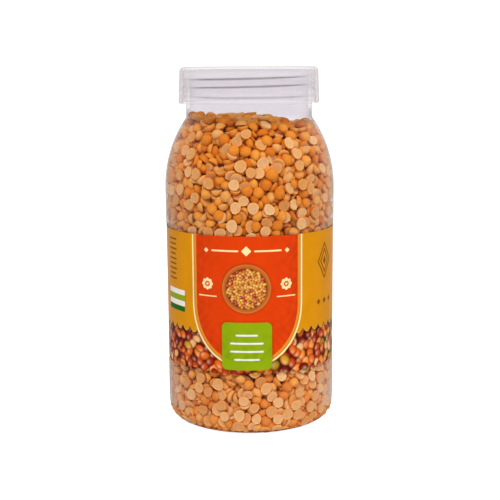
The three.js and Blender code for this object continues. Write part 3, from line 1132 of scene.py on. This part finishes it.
# a tree that sets one of the half shapes on every point, turned and sized by the point's attributes
def makeScatterTree():
    tree = bpy.data.node_groups.new("set halves on points", "GeometryNodeTree")
    add = functools.partial(addNode, tree)
    face = tree.interface
    for name, kind in (("Geometry", "Geometry"), ("Halves", "Collection"), ("Size", "Float"),
                       ("Seed", "Int"), ("Finish", "Material")):
        face.new_socket(name, in_out="INPUT", socket_type="NodeSocket" + kind)
    face.new_socket("Geometry", in_out="OUTPUT", socket_type="NodeSocketGeometry")
    given = add("NodeGroupInput")
    tone = add("FunctionNodeRandomValue", {"Seed": given.outputs["Seed"]}, data_type="FLOAT")
    kept = add("GeometryNodeStoreNamedAttribute", {
        "Geometry": given.outputs["Geometry"], "Name": "tone", "Value": tone.outputs["Value"]},
        data_type="FLOAT", domain="POINT")
    shapes = add("GeometryNodeCollectionInfo", {
        "Collection": given.outputs["Halves"], "Separate Children": True, "Reset Children": True})
    shape, way, grow = [
        add("GeometryNodeInputNamedAttribute", {"Name": name}, data_type=kind)
        for name, kind in (("shape", "INT"), ("way", "QUATERNION"), ("grow", "FLOAT"))]
    scaled = add("Math", [grow, given.outputs["Size"]], operation="MULTIPLY")
    placed = add("GeometryNodeInstanceOnPoints", {
        "Points": kept.outputs["Geometry"], "Instance": shapes, "Pick Instance": True,
        "Instance Index": shape, "Rotation": way, "Scale": scaled})
    real = add("GeometryNodeRealizeInstances", [placed])
    finished = add("GeometryNodeSetMaterial", {"Geometry": real, "Material": given.outputs["Finish"]})
    add("NodeGroupOutput", [finished])
    return tree


# Dry chickpea: matt and mottled, a deeper satin gold on the dome and chalky on the cut face. The
# halves are paler towards the bottom of the jar.
def makePeaFinish():
    material, add = newMaterial("dry split chickpea")
    tone = add("Attribute", attribute_name="tone")
    paint = add("Attribute", attribute_name="paint")
    dome = add("ValToRGB", {"Fac": tone.outputs["Fac"]})
    setRamp(dome.color_ramp, [(0.0, "#DC7A1A"), (0.35, "#EC9028"), (0.7, "#F4A642"), (1.0, "#EEB064")])
    cut = add("ValToRGB", {"Fac": tone.outputs["Fac"]})
    setRamp(cut.color_ramp, [(0.0, "#E69E50"), (0.45, "#F0B46C"), (1.0, "#FAC888")])
    isCut = add("MapRange", [paint.outputs["Fac"], 0.1, 0.45])
    dish = add("MapRange", [paint.outputs["Fac"], 0.55, 0.95, 1.04, 0.9])
    pale = add("VectorMath", {0: cut, 3: dish}, operation="SCALE")
    base = add("Mix", {0: isCut, 6: dome, 7: pale}, data_type="RGBA")
    rough = add("MapRange", [paint.outputs["Fac"], 0.0, 0.5, 0.42, 0.7])
    where = add("TexCoord")
    height = add("SeparateXYZ", {"Vector": where.outputs["Object"]})
    # the halves are paler towards the bottom of the jar
    lowerPaleness = add("MapRange", [height.outputs["Z"], 20 * mm, 110 * mm, 0.12, 0.0])
    paledLower = add("Mix", {
        0: lowerPaleness, 6: mottled(add, base.outputs[2], 1.6, 0.9, 1.06), 7: linear("#F0B88A")},
        data_type="RGBA")
    shader = add("BsdfPrincipled", {
        "Base Color": paledLower.outputs[2], "Roughness": rough, "Normal": uneven(add, 0.5, 2.0, 0.25, 0.12),
        "Specular IOR Level": 0.15})
    add("OutputMaterial", {"Surface": shader})
    return material


def makeHalves():
    p = peaSizes
    rng = np.random.default_rng(p["seed"] + 1)
    places, q, size = settleHalves()
    print("halves settled")
    shapes = bpy.data.collections.new("half shapes")
    for i in range(p["shapes"]):
        shapes.objects.link(makePeaShape(i, rng))
    shape = rng.integers(0, p["shapes"], len(places))
    kind = rng.integers(0, len(p["pieces"]), len(places))
    tree = makeScatterTree()
    sockets = {s.name: s.identifier for s in tree.interface.items_tree if s.in_out == "INPUT"}
    finish = makePeaFinish()
    for number, name in enumerate(p["pieces"]):
        chosen = kind == number
        mesh = newMesh("points", places[chosen], [])
        keepValues(mesh, "way", q[chosen], "QUATERNION")
        keepValues(mesh, "grow", size[chosen])
        keepValues(mesh, "shape", shape[chosen], "INT")
        holder = bpy.data.objects.new("points", mesh)
        bpy.context.scene.collection.objects.link(holder)
        modifier = holder.modifiers.new("halves", "NODES")
        modifier.node_group = tree
        inputs = {"Halves": shapes, "Size": 1.0, "Seed": p["toneSeed"] + number, "Finish": finish}
        for socket, value in inputs.items():
            modifier[sockets[socket]] = value
        seen = holder.evaluated_get(bpy.context.evaluated_depsgraph_get())
        made = bpy.data.meshes.new_from_object(seen)
        bpy.data.objects.remove(holder)
        made.name = name
        addPiece(name, made, "split_chickpeas")
        print(name, len(made.polygons), "faces")
    for o in list(shapes.objects):
        bpy.data.objects.remove(o)
    bpy.data.collections.remove(shapes)
    bpy.data.node_groups.remove(tree)


# A smaller core, so that the gaps between the halves end in shade and not in empty air: it stands for
# halves deep in the heap, painted with their shade as matt brown gaps and dim golden spots.
def makeCore():
    p = peaSizes
    material, add = newMaterial("shaded halves")
    where = add("TexCoord")
    spots = add("TexVoronoi", {"Vector": where.outputs["Object"], "Scale": 1 / (p["length"] * mm)})
    shade = add("ValToRGB", {"Fac": spots.outputs["Distance"]})
    # painted shade: browns mostly darker than a half's own colours, for the shade deep in the heap
    setRamp(shade.color_ramp, [(0.0, "#D0741A"), (0.45, "#B4600F"), (0.8, "#7A3806")])
    shader = add("BsdfPrincipled", {"Base Color": shade, "Roughness": 0.8, "Specular IOR Level": 0.1})
    add("OutputMaterial", {"Surface": shader})
    r = p["coreRadius"]
    profile = [[0, p["coreFoot"]], *p["coreFlange"], [r, p["coreFoot"] + 1]]
    profile += [[r, z] for z in np.linspace(p["coreFoot"] + 8, p["coreBend"], 12)]
    profile += [[p["coreTopRadius"], p["coreTop"]], [0, p["coreTop"]]]
    mesh = turned("pea_core", profile, 72)
    addPiece("pea_core", mesh, "split_chickpeas", material)


makeHalves()
makeCore()
print("contents made")
